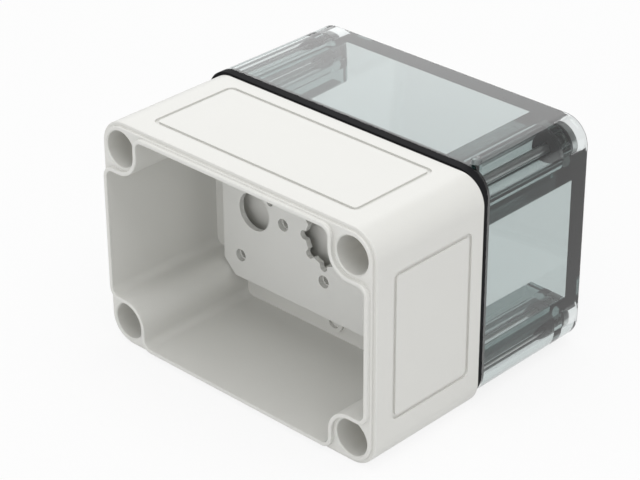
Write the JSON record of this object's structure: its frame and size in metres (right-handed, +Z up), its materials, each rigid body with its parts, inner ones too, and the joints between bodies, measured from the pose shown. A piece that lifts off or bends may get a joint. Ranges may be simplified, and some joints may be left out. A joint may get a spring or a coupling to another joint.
{
  "type": "polycarbonate enclosure",
  "caption": "Small light-grey polycarbonate enclosure on its long side, open front with corner wells and a holed mounting plate, its deep clear lid with black gasket stood behind it.",
  "frame": {"origin": "centre of the box's footprint, on the surface it stands on", "axes": "+X along the long side, +Z up as it stands on its long side, and -Y is the way the base opens"},
  "size_m": [0.0952, 0.083, 0.0672],
  "materials": {
    "base": "fine satin moulding",
    "plate": "fine satin moulding",
    "lid": "polished clear polycarbonate with a faint smoky blue-green tint",
    "gasket": "smooth black elastomer",
    "steel": "zinc plated",
    "insert": "turned brass",
    "screw": "bright stainless steel",
    "washer": "black polyamide",
    "ring": "black rubber"
  },
  "bodies": {
    "base": {"base_shell": "base", "mounting_plate": "plate", "plate_screw_1": "steel", "plate_screw_2": "steel", "corner_insert_1": "insert", "corner_insert_2": "insert", "corner_insert_3": "insert", "corner_insert_4": "insert"},
    "lid": {"lid_shell": "lid", "lid_gasket": "gasket", "retaining_washer_1": "washer", "retaining_washer_2": "washer", "retaining_washer_3": "washer", "retaining_washer_4": "washer"},
    "ring_1": {"screw_ring_1": "ring"},
    "screw_1": {"lid_screw_1": "screw"},
    "ring_2": {"screw_ring_2": "ring"},
    "screw_2": {"lid_screw_2": "screw"},
    "ring_3": {"screw_ring_3": "ring"},
    "screw_3": {"lid_screw_3": "screw"},
    "ring_4": {"screw_ring_4": "ring"},
    "screw_4": {"lid_screw_4": "screw"}
  },
  "joints": [
    {"name": "lid_slide", "type": "slide", "parent": "base", "child": "lid", "axis": [0, 1, 0], "range_m": [0, 0.1]},
    {"name": "screw_1_travel", "type": "slide", "parent": "lid", "child": "ring_1", "axis": [0, 1, 0], "range_m": [0, 0.0286]},
    {"name": "screw_1_turn", "type": "hinge", "parent": "ring_1", "child": "screw_1", "pos_m": [-0.0404, 0, 0.0581], "axis": [0, 1, 0], "continuous": true},
    {"name": "screw_2_travel", "type": "slide", "parent": "lid", "child": "ring_2", "axis": [0, 1, 0], "range_m": [0, 0.0286]},
    {"name": "screw_2_turn", "type": "hinge", "parent": "ring_2", "child": "screw_2", "pos_m": [0.0391, 0, 0.0581], "axis": [0, 1, 0], "continuous": true},
    {"name": "screw_3_travel", "type": "slide", "parent": "lid", "child": "ring_3", "axis": [0, 1, 0], "range_m": [0, 0.0286]},
    {"name": "screw_3_turn", "type": "hinge", "parent": "ring_3", "child": "screw_3", "pos_m": [-0.0404, 0, 0.0076], "axis": [0, 1, 0], "continuous": true},
    {"name": "screw_4_travel", "type": "slide", "parent": "lid", "child": "ring_4", "axis": [0, 1, 0], "range_m": [0, 0.0286]},
    {"name": "screw_4_turn", "type": "hinge", "parent": "ring_4", "child": "screw_4", "pos_m": [0.0391, 0, 0.0076], "axis": [0, 1, 0], "continuous": true}
  ]
}
